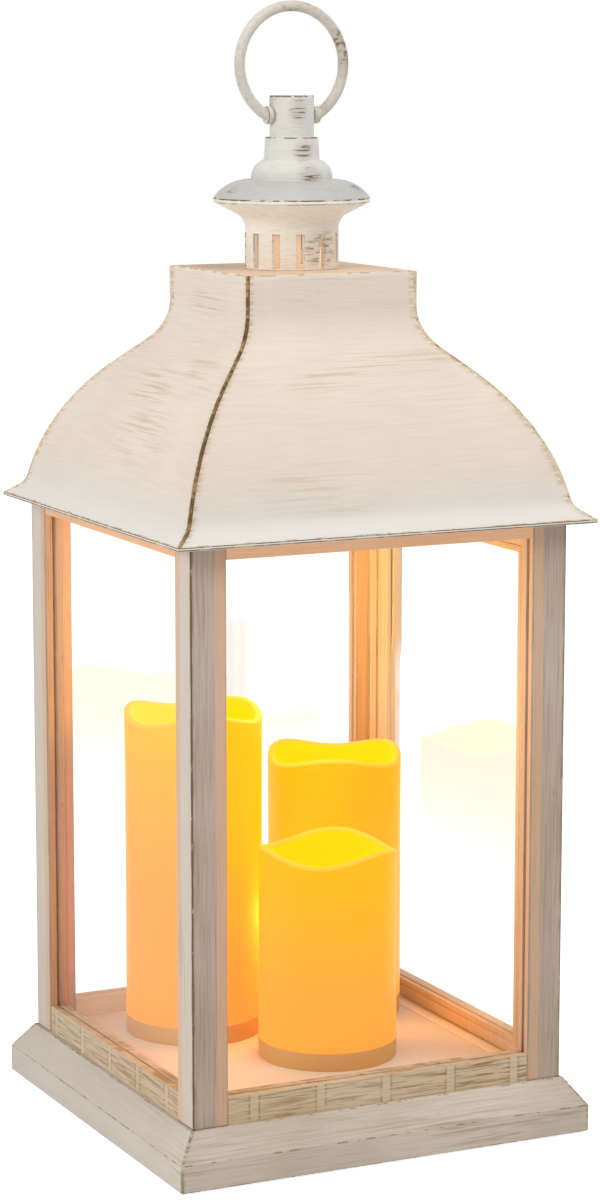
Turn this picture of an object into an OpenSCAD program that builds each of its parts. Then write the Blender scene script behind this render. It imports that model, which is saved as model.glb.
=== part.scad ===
// Square candle lantern with an ogee roof, a vented cupola, a carrying ring,
// one swinging glazed side and three battery pillar candles.
// Front is -Y, the door is on +X, up is +Z. Origin: centre of the footprint,
// on the surface that the lantern stands on. Millimetres.

/* [Overall] */
// Outside width across the corner posts
frame_w = 229; // [225:1:290]
// Height of the corner posts
frame_h = 320; // [255:1:400]
// Height of the roof from the post tops to its flat top
roof_h = 137; // [112:1:170]

/* [Plinth] */
// How far the plinth stands out past the posts
plinth_margin = 12.5; // [8:0.5:20]
// Height of the plinth's upright edge
plinth_edge_h = 15.5; // [10:0.5:24]
// Height of the plinth's sloping shoulder
plinth_slope_h = 15; // [8:0.5:22]
// Level ledge left on the plinth in front of the posts
plinth_ledge = 1.5; // [0.5:0.5:4]
// Wall of the plinth moulding
plinth_wall = 3; // [2:0.5:4]
// Thickness of the cover under the plinth
cover_t = 2.5; // [2:0.5:4]
// Height of the rubber pads below the plinth
pad_gap = 1.2; // [1:0.1:3]
// Diameter of a rubber pad
pad_d = 18; // [12:1:24]

/* [Frame] */
// Width of each leg of a corner post
post_w = 21; // [17:0.5:26]
// Thickness of a post leg and of the rails
post_t = 12; // [10:0.5:15]
// Height of the bottom rails
rail_h = 16; // [12:0.5:22]
// Height of the top rails
top_rail_h = 8; // [8:0.5:14]
// Thickness of the floor plate
floor_t = 4.7; // [4:0.1:8]
// Distance of the worn grooves from the floor plate's side edges
floor_groove_in = 9; // [6:0.5:14]
// How far the rails sit back from the post faces
rail_recess = 0.3; // [0:0.1:1]

/* [Glazing] */
// Thickness of the clear panes
pane_t = 2; // [1.5:0.1:3]
// Distance from the frame's face to the pane grooves
pane_inset = 5; // [3:0.5:6]
// Depth of the pane grooves
groove_depth = 6; // [4:0.5:8]

/* [Door] */
// Thickness of the door frame
door_t = 11.2; // [9:0.1:13]
// Width of the door's stiles and top rail
stile_w = 12; // [11:0.5:18]
// Gap round the door
door_gap = 1; // [0.6:0.1:2]
// Thickness of the sill below the door
sill_t = 4; // [3:0.5:6]
// Diameter of the door's pivot pins
door_pin_d = 4; // [3:0.5:5]
// Height of the turn button above the post foot
latch_z = 160; // [90:1:220]
// Length of the turn button's long arm
latch_arm = 16; // [15:0.5:20]

/* [Roof] */
// How far the eaves stand out past the posts
eave_out = 12.5; // [8:0.5:20]
// Height of the upright lip of the eaves
eave_t = 2.3; // [2:0.1:4]
// Wall of the roof moulding
roof_wall = 2.6; // [2:0.1:4]
// Thickness of the roof's flat top
roof_top_t = 3; // [2.5:0.5:5]
// Width of the roof's square neck
neck_w = 103; // [90:1:116]
// Height of the roof's upright neck
neck_h = 19; // [12:0.5:26]
// Width of the raised bead along each hip
bead_w = 2.6; // [2:0.1:4]
// Height of the raised bead
bead_h = 1; // [0.6:0.1:1.6]

/* [Cupola] */
// Outside diameter of the vent tube
vent_d = 52.8; // [46:0.2:60]
// Wall of the vent tube
vent_wall = 3.4; // [3:0.1:4.4]
// Height from the roof's top to the brim's upper edge
vent_h = 39.2; // [34:0.2:48]
// Number of vent slots
slot_count = 12; // [6:6:12]
// Width of a vent slot
slot_w = 4; // [3:0.5:5]
// Height of a vent slot
slot_h = 18.7; // [12:0.1:22]
// Diameter of the brim
brim_d = 88.2; // [80:0.2:100]
// Wall of the cap
cap_wall = 2.2; // [2:0.1:3]

/* [Carrying ring] */
// Diameter of the stem that holds the ring
stem_d = 25; // [22:0.5:30]
// Height of the stem
stem_h = 23; // [20:0.5:30]
// Diameter of the ring's wire
wire_d = 6; // [5:0.5:7]
// Diameter of the ring at the wire's centre
ring_d = 64.2; // [58:0.2:76]
// Height of the ring's pivot above the stem's foot
pivot_up = 12.1; // [11:0.1:15]
// Diameter of the ring's pivot pin
pivot_pin_d = 4; // [3:0.5:5]

/* [Candles] */
// Diameter of the candles
candle_d = 80; // [64:1:82]
// Mean heights of the three candles
candle_h = [122.3, 158.8, 192.1];
// Turn of each candle's wavy rim about its own axis
rim_turn = [55, 4, 18];
// Wall of a candle
candle_wall = 4; // [3:0.5:5]
// Height of the waves of the rim, crest to trough
rim_wave = 6; // [3:0.5:8]
// Depth of the hollow inside the rim
candle_hollow = 32; // [25:1:45]
// Height of the tan band at the candle's foot
band_h = 10.5; // [9:0.5:14]
// Space between neighbouring candles
candle_gap = 13; // [6:0.5:20]
// Space between the rear right candle and the walls next to it
wall_gap = 8.2; // [4:0.2:12]
// Travel of the switch under each candle
switch_travel = 4; // [3:0.5:5]

/* [Hidden] */
$fn = 72;

// Clearances and small standard parts
fit = 0.2;             // between two moulded pieces that locate each other
press_room = 0.05;     // radial, round a pin that is glued in
run_fit = 0.08;        // radial, where a pin turns
slip = 0.3;            // round a piece that moves or drops in
over = 1;              // how far a cutting solid runs past the face it cuts
screw_r = 1.6;         // shank of the wood screws
screw_hole_r = 1.7;
screw_head_r = 3;
screw_head_h = 1.6;
tip_room = 0.5;        // left in a blind hole past the end of a screw or pin
cover_bite = 14;       // how far the cover screws enter the plinth's bosses
post_bite = 10;        // the same, for the screws in the posts
floor_bite = 3.2;      // the same, in the thin floor plate and sill
floor_screw_in = 40;   // floor screws, from the frame's inner faces

// Levels
frame_half = frame_w / 2;
inner_half = frame_half - post_t;
leg_end = frame_half - post_w;
plinth_half = frame_half + plinth_margin;
plinth_top_half = frame_half + plinth_ledge;
edge_z = pad_gap + plinth_edge_h;
deck_z = edge_z + plinth_slope_h;
deck_under_z = deck_z - plinth_wall;
floor_z = deck_z + floor_t;
rail_top_z = deck_z + rail_h;
post_top_z = deck_z + frame_h;
head_z = post_top_z - top_rail_h;
roof_top_z = post_top_z + roof_h;

// Plinth
cover_z = pad_gap + 1;
cover_top_z = cover_z + cover_t;
boss_r = 4;
boss_at = frame_half - 10;
pad_at = frame_half - 10;
slope_w = plinth_half - plinth_top_half;
slope_wall = plinth_wall * (sqrt(slope_w * slope_w + plinth_slope_h * plinth_slope_h) - slope_w) / plinth_slope_h;

// Corner posts
corner_at = frame_half - post_t / 2;
gusset = 14.5;
gusset_h = 7;
groove_w = pane_t + fit;
groove_mid = frame_half - pane_inset - groove_w / 2;
pane_bite = groove_depth - 0.5;
pane_half = leg_end + pane_bite;
pane_z = rail_top_z - pane_bite;
pane_play = 1;
pane_top_z = head_z + pane_bite - pane_play;
tongue = groove_depth - 1;
rail_bite = pane_z - deck_z - 2;
roof_screw_at = inner_half - gusset / 2;
roof_bite = 5.5;
roof_boss_r = 4.5;
roof_boss_h = 8;

// Door
door_half = leg_end - door_gap;
door_out = frame_half - 0.5;
door_in = door_out - door_t;
door_mid = door_out - door_t / 2;
washer_t = door_gap;
washer_in = 0.6;
sill_top_z = deck_z + sill_t;
door_z = sill_top_z + washer_t;
door_top_z = head_z - door_gap;
pivot_y = -door_half + door_t / 2;
pin_r = door_pin_d / 2;
pin_foot_gap = 0.6;
pin_in_door = 9;
pin_in_head = 4.5;
glass_half = door_half - stile_w;
glass_z = rail_top_z;
glass_top_z = door_top_z - stile_w;
rebate = 4;
rebate_t = 5;
stop_t = 3;
stop_h = 4;
latch_y = frame_half - post_w / 2;
latch_t = 3;
latch_w = 9;
latch_boss_t = 0.5;
latch_boss_r = 3.9;
latch_hole_r = 1.68;
latch_screw_bite = 7.5;

// Roof outline, from the eaves up: lip, flank, neck
eave_half = frame_half + eave_out;
neck_half = neck_w / 2;
neck_z = roof_top_z - neck_h;
lip_low = [eave_half, post_top_z + eave_t];
lip_turn = [eave_half - 6.3, post_top_z + 6];
lip_high = [eave_half - 12, post_top_z + 14];
flank_high = [neck_half + 23.5, neck_z - 35.4];
neck_low = [neck_half + 10.5, neck_z - 23.5];
neck_high = [neck_half, neck_z];
roof_path = concat(
  [lip_low],
  arc(lip_turn, lip_high, 1, 4, 0),
  arc(lip_high, flank_high, -6.2, 12, 1),
  arc(neck_low, neck_high, 2.8, 8, 0),
  [[neck_half, roof_top_z]]
);
roof_path_last = len(roof_path) - 1;
flange_half = inner_half - gusset;

// Cupola
vent_r = vent_d / 2;
vent_bore_r = vent_r - vent_wall;
spigot_r = vent_bore_r + 1.6;
brim_r = brim_d / 2;
brim_z = roof_top_z + vent_h;
brim_t = 2;
cove_low = [vent_r, roof_top_z + 21];
cove_high = [vent_r + 4, roof_top_z + 30.1];
cone_low = [cove_high[0] - 1, cove_high[1] + cap_wall];
brim_slope = (brim_z - cone_low[1]) / (brim_r - cap_wall - cone_low[0]);
slot_foot = 1;
clamp_t = 2.5;
clamp_boss_r = 3;
clamp_boss_at = vent_bore_r - clamp_boss_r + 0.5;
clamp_boss_h = 12;
clamp_hole_h = 10;
clamp_in_r = clamp_boss_at - clamp_boss_r - 0.5;
clamp_out_r = spigot_r + 6.4;
clamp_screw_r = 1.3;
clamp_screw_hole_r = 1.4;
clamp_screw_head_r = 2.4;
spider_z = roof_top_z + 21;
spider_t = 3;
spider_w = 3;
spider_hub_r = 5;
dome_high = [23.4, brim_z + 10.4];
tier_high = [15.8, brim_z + 21.4];
cap_top = [14.8, brim_z + 34];
cap_top_z = cap_top[1];
cap_top_t = 2.5;

// Stem, bolt and ring
stem_r = stem_d / 2;
stem_top_z = cap_top_z + stem_h;
bolt_r = 2;
bolt_hole_r = 2.1;
bolt_head_r = 3.5;
bolt_head_h = 3;
bolt_gap = 2.2;
pivot_z = cap_top_z + pivot_up;
bolt_top_z = pivot_z - pivot_pin_d / 2 - bolt_gap;
pivot_r = pivot_pin_d / 2;
ring_r = ring_d / 2;
wire_r = wire_d / 2;
eye_r = 4.9;
eye_in = stem_r + slip;
eye_t = 3.6;
eye_out = eye_in + eye_t;
wire_end_x = eye_in + eye_t / 2 + 1;
ring_centre_z = pivot_z + sqrt(ring_r * ring_r - wire_end_x * wire_end_x);
ring_open = atan2(ring_centre_z - pivot_z, wire_end_x);

// Candles stand in a regular triangle, one forward and two at the back
candle_r = candle_d / 2;
candle_bore_r = candle_r - candle_wall;
triangle_r = (candle_d + candle_gap) / sqrt(3);
triangle_turn = 31.3;
triangle_x = inner_half - wall_gap - candle_r - triangle_r * cos(triangle_turn);
triangle_y = inner_half - wall_gap - candle_r - triangle_r * sin(triangle_turn);
candle_turn = [triangle_turn + 240, triangle_turn, triangle_turn + 120];
led_deck_t = 3;
led_r = 2.5;
led_up = 6;
board_r = 11;
board_t = 1.6;
board_drop = 3;
base_plate_z = 2;
base_plate_t = 2.5;
foot_ring_t = 2.5;
spigot_h = 6;
spigot_t = 2;
cell_r = 7.25;
cell_l = 50.5;
cell_play = 0.8;
cell_at = cell_r * 2 / sqrt(3) + 0.1;
holder_r = cell_at + cell_r + slip;
holder_t = 1.6;
cover_lip = 2.6;
twist_cover_r = holder_r + cover_lip;
twist_cover_t = 1.5;
switch_w = 4;
spigot_in_r = candle_bore_r - fit - spigot_t;
switch_at = (holder_r + holder_t + spigot_in_r) / 2 - slip;

// Points of the arc from a to b that rises by sag to the left of a-b;
// first is 0 to keep point a, 1 to leave it out.
function arc(a, b, sag, n, first) =
  let (c = norm(b - a), u = (b - a) / c, v = [-u[1], u[0]])
  let (r = (c * c / 4 + sag * sag) / (2 * sag), half = asin(c / (2 * r)))
  let (centre = (a + b) / 2 + v * (sag - r))
  [for (i = [first:n]) let (t = half * (2 * i / n - 1)) centre + u * r * sin(t) + v * r * cos(t)];

// The same path moved sideways by d, to the left of its direction
function shifted(p, d) = [
  for (i = [0:len(p) - 1])
    let (a = p[max(i - 1, 0)], b = p[min(i + 1, len(p) - 1)], u = (b - a) / norm(b - a))
    p[i] + d * [-u[1], u[0]]
];
function mirrored(p) = [for (i = [len(p) - 1:-1:0]) [-p[i][0], p[i][1]]];
function reversed(p) = [for (i = [len(p) - 1:-1:0]) p[i]];

// Solid of square plan whose half width at each height follows the path p
module square_plan(p) {
  reach = 2 * p[0][0] + 2 * over;
  intersection() {
    rotate([90, 0, 0])
      linear_extrude(height = reach, center = true)
        polygon(concat(p, mirrored(p)));
    rotate([90, 0, 90])
      linear_extrude(height = reach, center = true)
        polygon(concat(p, mirrored(p)));
  }
}

module centred_box(half_x, half_y, z0, z1) {
  translate([-half_x, -half_y, z0])
    cube([2 * half_x, 2 * half_y, z1 - z0]);
}

// A box between two corners
module block(low, high) {
  translate(low)
    cube(high - low);
}

module rod(r, z0, z1) {
  translate([0, 0, z0])
    cylinder(r = r, h = z1 - z0);
}

module at_corners(d) {
  for (sx = [-1, 1])
    for (sy = [-1, 1])
      translate([sx * d, sy * d, 0])
        children();
}

module at_sides(d) {
  for (a = [0:90:270])
    rotate([0, 0, a])
      translate([0, -d, 0])
        children();
}

// Screw that points up, with its head's seat at height z
module screw_up(z, length) {
  rod(screw_r, z, z + length);
  rod(screw_head_r, z - screw_head_h, z);
}

// ---- Plinth -----------------------------------------------------------

rail_sides = [0, 180, 270];
rail_screw_at = 60;

// Screws into the three bottom rails
module rail_screw_places() {
  for (a = rail_sides)
    rotate([0, 0, a])
      for (x = [-rail_screw_at, rail_screw_at])
        translate([x, -corner_at, 0])
          children();
}

// Screws into the floor plate and the door's sill
module short_screw_places() {
  at_corners(inner_half - floor_screw_in)
    children();
  for (y = [-rail_screw_at, rail_screw_at])
    translate([corner_at, y, 0])
      children();
}

// Every hole through the plinth's deck
module deck_screw_places() {
  at_corners(corner_at)
    children();
  rail_screw_places()
    children();
  short_screw_places()
    children();
}

module plinth() {
  color([0.80, 0.77, 0.72])
    difference() {
      union() {
        difference() {
          square_plan([
            [plinth_half, pad_gap],
            [plinth_half, edge_z],
            [plinth_top_half, deck_z]
          ]);
          square_plan([
            [plinth_half - plinth_wall, pad_gap - over],
            [plinth_half - plinth_wall, edge_z - slope_wall],
            [plinth_top_half - plinth_wall + slope_w * (plinth_wall - slope_wall) / plinth_slope_h, deck_under_z]
          ]);
        }
        at_sides(boss_at)
          rod(boss_r, cover_top_z, deck_under_z + over);
      }
      at_sides(boss_at)
        rod(screw_hole_r, cover_top_z - over, cover_top_z + cover_bite + tip_room);
      deck_screw_places()
        rod(screw_hole_r, deck_under_z - over, deck_z + over);
    }
}

module bottom_cover() {
  half = plinth_half - plinth_wall - slip;
  color([0.25, 0.24, 0.22])
    difference() {
      centred_box(half, half, cover_z, cover_top_z);
      at_sides(boss_at)
        rod(screw_hole_r, cover_z - over, cover_top_z + over);
    }
}

module cover_screws() {
  color([0.62, 0.62, 0.62])
    at_sides(boss_at) {
      rod(screw_r, cover_z, cover_top_z + cover_bite);
      rod(screw_head_r, cover_z - screw_head_h, cover_z);
    }
}

module foot_pads() {
  color([0.12, 0.12, 0.12])
    at_corners(pad_at)
      rod(pad_d / 2, 0, cover_z);
}

module floor_plate() {
  half = inner_half - slip;
  groove = 0.8;
  color([0.98, 0.80, 0.65])
    difference() {
      centred_box(half, half, deck_z, floor_z);
      for (sx = [-1, 1])
        translate([sx * (inner_half - floor_groove_in), 0, 0])
          centred_box(groove / 2, half + over, floor_z - groove, floor_z + over);
      at_corners(inner_half - floor_screw_in)
        rod(screw_hole_r, deck_z - over, deck_z + floor_bite + fit);
    }
}

module frame_screws() {
  color([0.62, 0.62, 0.62]) {
    at_corners(corner_at)
      screw_up(deck_under_z, plinth_wall + post_bite);
    rail_screw_places()
      screw_up(deck_under_z, plinth_wall + rail_bite);
    short_screw_places()
      screw_up(deck_under_z, plinth_wall + floor_bite);
  }
}

// ---- Frame ------------------------------------------------------------

// Groove in a leg end, at the pane's place, between two heights
module leg_groove(z0, z1) {
  block(
    [leg_end - over, groove_mid - groove_w / 2, z0],
    [leg_end + groove_depth, groove_mid + groove_w / 2, z1]
  );
}

// Corner post at +X +Y. The leg on its Y face ends towards -X; the leg on its
// X face ends towards -Y. A leg beside the door has a groove only at its ends.
module corner_post(door_on_x_face) {
  difference() {
    union() {
      block([leg_end, inner_half, deck_z], [frame_half, frame_half, post_top_z]);
      block([inner_half, leg_end, deck_z], [frame_half, frame_half, post_top_z]);
      block(
        [inner_half - gusset, inner_half - gusset, post_top_z - gusset_h],
        [inner_half, inner_half, post_top_z]
      );
      block(
        [leg_end, leg_end, post_top_z - gusset_h],
        [frame_half - over, frame_half - over, post_top_z]
      );
    }
    leg_groove(deck_z - over, post_top_z + over);
    mirror([1, -1, 0])
      if (door_on_x_face) {
        leg_groove(deck_z - over, sill_top_z);
        leg_groove(head_z, post_top_z + over);
      } else {
        leg_groove(deck_z - over, post_top_z + over);
      }
    translate([corner_at, corner_at, 0])
      rod(screw_hole_r, deck_z - over, deck_z + post_bite + tip_room);
    translate([roof_screw_at, roof_screw_at, 0])
      rod(screw_hole_r, post_top_z - gusset_h - over, post_top_z + over);
  }
}

post_color = [0.75, 0.70, 0.64];

module post_back_right() {
  color(post_color)
    difference() {
      corner_post(true);
      translate([frame_half, latch_y, deck_z + latch_z])
        rotate([0, 90, 0])
          rod(screw_hole_r, -latch_screw_bite - tip_room, over);
    }
}

module post_front_right() {
  color(post_color)
    mirror([0, 1, 0])
      corner_post(true);
}

module post_back_left() {
  color(post_color)
    mirror([1, 0, 0])
      corner_post(false);
}

module post_front_left() {
  color(post_color)
    mirror([1, 0, 0])
      mirror([0, 1, 0])
        corner_post(false);
}

// Rail along the front, with a groove for the pane on the side that faces it
module rail(z0, z1, tongue_z0, tongue_z1) {
  block([-leg_end, -frame_half + rail_recess, z0], [leg_end, -inner_half, z1]);
  for (s = [-1, 1])
    translate([s * leg_end, 0, 0])
      block([-tongue, -groove_mid - pane_t / 2, tongue_z0], [tongue, -groove_mid + pane_t / 2, tongue_z1]);
}

module bottom_rail() {
  difference() {
    rail(deck_z, rail_top_z, deck_z, pane_z - slip);
    block(
      [-leg_end - over, -groove_mid - groove_w / 2, pane_z - pane_play / 2],
      [leg_end + over, -groove_mid + groove_w / 2, rail_top_z + over]
    );
    for (x = [-rail_screw_at, rail_screw_at])
      translate([x, -corner_at, 0])
        rod(screw_hole_r, deck_z - over, deck_z + rail_bite + tip_room);
  }
}

module top_rail() {
  difference() {
    rail(head_z, post_top_z, pane_top_z + slip, post_top_z);
    block(
      [-leg_end - over, -groove_mid - groove_w / 2, head_z - over],
      [leg_end + over, -groove_mid + groove_w / 2, pane_top_z + pane_play / 2]
    );
  }
}

module bottom_rail_front() {
  color([0.86, 0.83, 0.78])
    bottom_rail();
}

module bottom_rail_left() {
  color([0.86, 0.83, 0.78])
    rotate([0, 0, -90])
      bottom_rail();
}

module bottom_rail_back() {
  color([0.86, 0.83, 0.78])
    rotate([0, 0, 180])
      bottom_rail();
}

module top_rail_front() {
  color([0.93, 0.70, 0.53])
    top_rail();
}

module top_rail_left() {
  color([0.93, 0.70, 0.53])
    rotate([0, 0, -90])
      top_rail();
}

module top_rail_back() {
  color([0.93, 0.70, 0.53])
    rotate([0, 0, 180])
      top_rail();
}

module door_sill() {
  color([0.86, 0.83, 0.78])
    difference() {
      rotate([0, 0, 90])
        rail(deck_z, sill_top_z, deck_z, sill_top_z - slip);
      translate([door_mid, pivot_y, 0])
        rod(pin_r + run_fit, deck_z - over, sill_top_z + over);
      for (y = [-rail_screw_at, rail_screw_at])
        translate([corner_at, y, 0])
          rod(screw_hole_r, deck_z - over, deck_z + floor_bite + fit);
    }
}

module door_head() {
  color([0.93, 0.70, 0.53])
    difference() {
      union() {
        rotate([0, 0, 90])
          rail(head_z, post_top_z, head_z + slip, post_top_z);
        block(
          [door_in - slip - stop_t, -leg_end + gusset, head_z - stop_h],
          [door_in - slip, leg_end - gusset, post_top_z]
        );
      }
      translate([door_mid, pivot_y, 0])
        rod(pin_r + run_fit, head_z - over, head_z + pin_in_head + tip_room);
    }
}

// Clear pane of the front side
module pane() {
  block([-pane_half, -groove_mid - pane_t / 2, pane_z], [pane_half, -groove_mid + pane_t / 2, pane_top_z]);
}

module pane_front() {
  color([0.90, 0.95, 0.97, 0.3])
    pane();
}

module pane_left() {
  color([0.90, 0.95, 0.97, 0.3])
    rotate([0, 0, -90])
      pane();
}

module pane_back() {
  color([0.90, 0.95, 0.97, 0.3])
    rotate([0, 0, 180])
      pane();
}

// ---- Door -------------------------------------------------------------

module door_frame() {
  color([0.86, 0.83, 0.78])
    difference() {
      union() {
        block([door_in, pivot_y, door_z], [door_out, door_half, door_top_z]);
        translate([door_mid, pivot_y, 0])
          rod(door_t / 2, door_z, door_top_z);
      }
      block([door_in - over, -glass_half, glass_z], [door_out + over, glass_half, glass_top_z]);
      block(
        [door_in - over, -glass_half - rebate, glass_z - rebate],
        [door_in + rebate_t, glass_half + rebate, glass_top_z + rebate]
      );
      translate([door_mid, pivot_y, 0]) {
        rod(pin_r + press_room, door_z - over, door_z + pin_in_door + tip_room);
        rod(pin_r + press_room, door_top_z - pin_in_door - tip_room, door_top_z + over);
      }
    }
}

module door_pane() {
  half = glass_half + rebate - slip;
  color([0.90, 0.95, 0.97, 0.3])
    block(
      [door_in + rebate_t - pane_t, -half, glass_z - rebate + slip],
      [door_in + rebate_t, half, glass_top_z + rebate - slip]
    );
}

module door_pane_bead() {
  half = glass_half + rebate - fit;
  color([0.86, 0.83, 0.78])
    difference() {
      block(
        [door_in, -half, glass_z - rebate + fit],
        [door_in + rebate_t - pane_t, half, glass_top_z + rebate - fit]
      );
      block([door_in - over, -glass_half, glass_z], [door_in + rebate_t, glass_half, glass_top_z]);
    }
}

module door_pivot_pins() {
  color([0.70, 0.70, 0.70])
    translate([door_mid, pivot_y, 0]) {
      rod(pin_r, deck_z + pin_foot_gap, door_z + pin_in_door);
      rod(pin_r, door_top_z - pin_in_door, head_z + pin_in_head);
    }
}

module door_washer() {
  color([0.80, 0.65, 0.35])
    translate([door_mid, pivot_y, 0])
      difference() {
        rod(door_t / 2 - washer_in, sill_top_z, sill_top_z + washer_t);
        rod(pin_r + run_fit, sill_top_z - over, sill_top_z + washer_t + over);
      }
}

// Turn button, hanging down; turned across, its long arm holds the door shut
module latch_button() {
  color([0.80, 0.77, 0.72])
    translate([frame_half, latch_y, deck_z + latch_z])
      rotate([0, 90, 0])
        difference() {
          union() {
            rod(latch_w / 2, latch_boss_t, latch_boss_t + latch_t);
            block([0, -latch_w / 2, latch_boss_t], [latch_arm - latch_w / 2, latch_w / 2, latch_boss_t + latch_t]);
            translate([latch_arm - latch_w / 2, 0, 0])
              rod(latch_w / 2, latch_boss_t, latch_boss_t + latch_t);
            rod(latch_boss_r, 0, latch_boss_t + latch_t / 2);
          }
          rod(latch_hole_r, -over, latch_boss_t + latch_t + over);
        }
}

module latch_screw() {
  color([0.62, 0.62, 0.62])
    translate([frame_half, latch_y, deck_z + latch_z])
      rotate([0, 90, 0]) {
        rod(screw_r, -latch_screw_bite, latch_boss_t + latch_t);
        rod(screw_head_r, latch_boss_t + latch_t, latch_boss_t + latch_t + screw_head_h);
      }
}

// ---- Roof -------------------------------------------------------------

module roof_shell() {
  cavity = concat(
    [[lip_turn[0] - roof_wall / 2, lip_low[1]]],
    shifted([for (i = [1:roof_path_last]) roof_path[i]], roof_wall)
  );
  cavity_last = len(cavity) - 1;
  hip = [for (i = [1:roof_path_last]) [roof_path[i][0] * sqrt(2), roof_path[i][1]]];
  color([0.91, 0.87, 0.82])
    difference() {
      union() {
        difference() {
          square_plan(concat([[eave_half, post_top_z]], roof_path));
          square_plan([
            for (i = [0:cavity_last])
              i < cavity_last ? cavity[i] : [cavity[i][0], roof_top_z - roof_top_t]
          ]);
          centred_box(flange_half, flange_half, post_top_z - over, lip_low[1] + over);
        }
        for (a = [45:90:315])
          rotate([0, 0, a])
            rotate([90, 0, 0])
              linear_extrude(height = bead_w, center = true)
                polygon(concat(shifted(hip, -bead_h), reversed(shifted(hip, roof_wall / 2))));
        at_corners(roof_screw_at)
          rod(roof_boss_r, post_top_z, lip_low[1] + roof_boss_h);
      }
      at_corners(roof_screw_at)
        rod(screw_hole_r, post_top_z - over, lip_low[1] + roof_bite + tip_room);
      rod(spigot_r + fit, roof_top_z - roof_top_t - over, roof_top_z + over);
      centred_box(neck_half * 2, neck_half * 2, roof_top_z, roof_top_z + neck_h);
    }
}

module roof_screws() {
  color([0.62, 0.62, 0.62])
    at_corners(roof_screw_at)
      screw_up(post_top_z - gusset_h, gusset_h + eave_t + roof_bite);
}

// ---- Cupola -----------------------------------------------------------

module vent_tube() {
  wall_path = concat(
    [[spigot_r, roof_top_z - roof_top_t], [spigot_r, roof_top_z], [vent_r, roof_top_z]],
    arc(cove_low, cove_high, 1.4, 8, 0),
    [[brim_r, brim_z - brim_t], [brim_r, brim_z]],
    [[brim_r - cap_wall, brim_z], cone_low],
    [[vent_bore_r, cove_low[1] + cap_wall], [vent_bore_r, roof_top_z - roof_top_t]]
  );
  color([0.87, 0.86, 0.83])
    difference() {
      union() {
        rotate_extrude()
          polygon(wall_path);
        for (a = [0:120:240])
          rotate([0, 0, a]) {
            translate([clamp_boss_at, 0, 0])
              rod(clamp_boss_r, roof_top_z - roof_top_t, roof_top_z + clamp_boss_h);
            block(
              [0, -spider_w / 2, spider_z],
              [vent_bore_r + over, spider_w / 2, spider_z + spider_t]
            );
          }
        rod(spider_hub_r, spider_z, spider_z + spider_t);
      }
      for (i = [0:slot_count - 1])
        rotate([0, 0, (i + 0.5) * 360 / slot_count])
          block(
            [vent_bore_r - 0.5, -slot_w / 2, roof_top_z + slot_foot],
            [vent_r + over, slot_w / 2, roof_top_z + slot_foot + slot_h]
          );
      for (a = [0:120:240])
        rotate([0, 0, a])
          translate([clamp_boss_at, 0, 0])
            rod(clamp_screw_hole_r, roof_top_z - roof_top_t - over, roof_top_z + clamp_hole_h);
      rod(bolt_hole_r, spider_z - over, spider_z + spider_t + over);
    }
}

// Ring below the roof's top that pulls the vent tube down on it
module vent_clamp_ring() {
  top = roof_top_z - roof_top_t;
  color([0.87, 0.86, 0.83])
    difference() {
      rod(clamp_out_r, top - clamp_t, top);
      rod(clamp_in_r, top - clamp_t - over, top + over);
      for (a = [0:120:240])
        rotate([0, 0, a])
          translate([clamp_boss_at, 0, 0])
            rod(clamp_screw_hole_r, top - clamp_t - over, top + over);
    }
}

module vent_screws() {
  seat = roof_top_z - roof_top_t - clamp_t;
  color([0.62, 0.62, 0.62])
    for (a = [0:120:240])
      rotate([0, 0, a])
        translate([clamp_boss_at, 0, 0]) {
          rod(clamp_screw_r, seat, roof_top_z + clamp_hole_h - tip_room);
          rod(clamp_screw_head_r, seat - screw_head_h, seat);
        }
}

// The cap has a low lip that sits inside the brim
module cupola_cap() {
  lip_drop = 0.8;
  lip_rise = 1.8;
  lip_t = 1.6;
  lip_r = brim_r - cap_wall - lip_drop / brim_slope - fit;
  outside = concat(
    [[brim_r, brim_z]],
    arc([brim_r, brim_z], dome_high, -2.9, 8, 1),
    arc(dome_high, tier_high, -2.3, 8, 1),
    [cap_top, [0, cap_top_z]]
  );
  inside = concat(
    [[brim_r - cap_wall - 0.6, brim_z]],
    arc([brim_r - cap_wall - 2, brim_z + 0.6], dome_high - [1.4, 2.6], -2.8, 6, 0),
    arc(dome_high - [2.4, 0.6], tier_high - [1.8, 1.6], -2.2, 6, 0),
    [[cap_top[0] - cap_wall, cap_top_z - cap_top_t], [0, cap_top_z - cap_top_t]]
  );
  color([0.88, 0.89, 0.87])
    difference() {
      union() {
        rotate_extrude()
          polygon(concat(outside, reversed(inside)));
        difference() {
          rod(lip_r, brim_z - lip_drop, brim_z + lip_rise);
          rod(lip_r - lip_t, brim_z - lip_drop - over, brim_z + lip_rise + over);
        }
      }
      rod(bolt_hole_r, cap_top_z - cap_top_t - over, cap_top_z + over);
    }
}

module ring_stem() {
  chamfer = 0.6;
  color([0.86, 0.85, 0.82])
    difference() {
      rotate_extrude()
        polygon([
          [0, cap_top_z],
          [stem_r, cap_top_z],
          [stem_r, stem_top_z - chamfer],
          [stem_r - chamfer, stem_top_z],
          [0, stem_top_z]
        ]);
      rod(bolt_hole_r, cap_top_z - over, bolt_top_z + tip_room);
      translate([0, 0, pivot_z])
        rotate([0, 90, 0])
          rod(pivot_r + press_room, -stem_r - over, stem_r + over);
    }
}

module stem_bolt() {
  color([0.70, 0.70, 0.70]) {
    rod(bolt_r, spider_z, bolt_top_z);
    rod(bolt_head_r, spider_z - bolt_head_h, spider_z);
  }
}

module ring_pivot_pin() {
  color([0.70, 0.70, 0.70])
    translate([0, 0, pivot_z])
      rotate([0, 90, 0])
        rod(pivot_r, -eye_out + fit, eye_out - fit);
}

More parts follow.
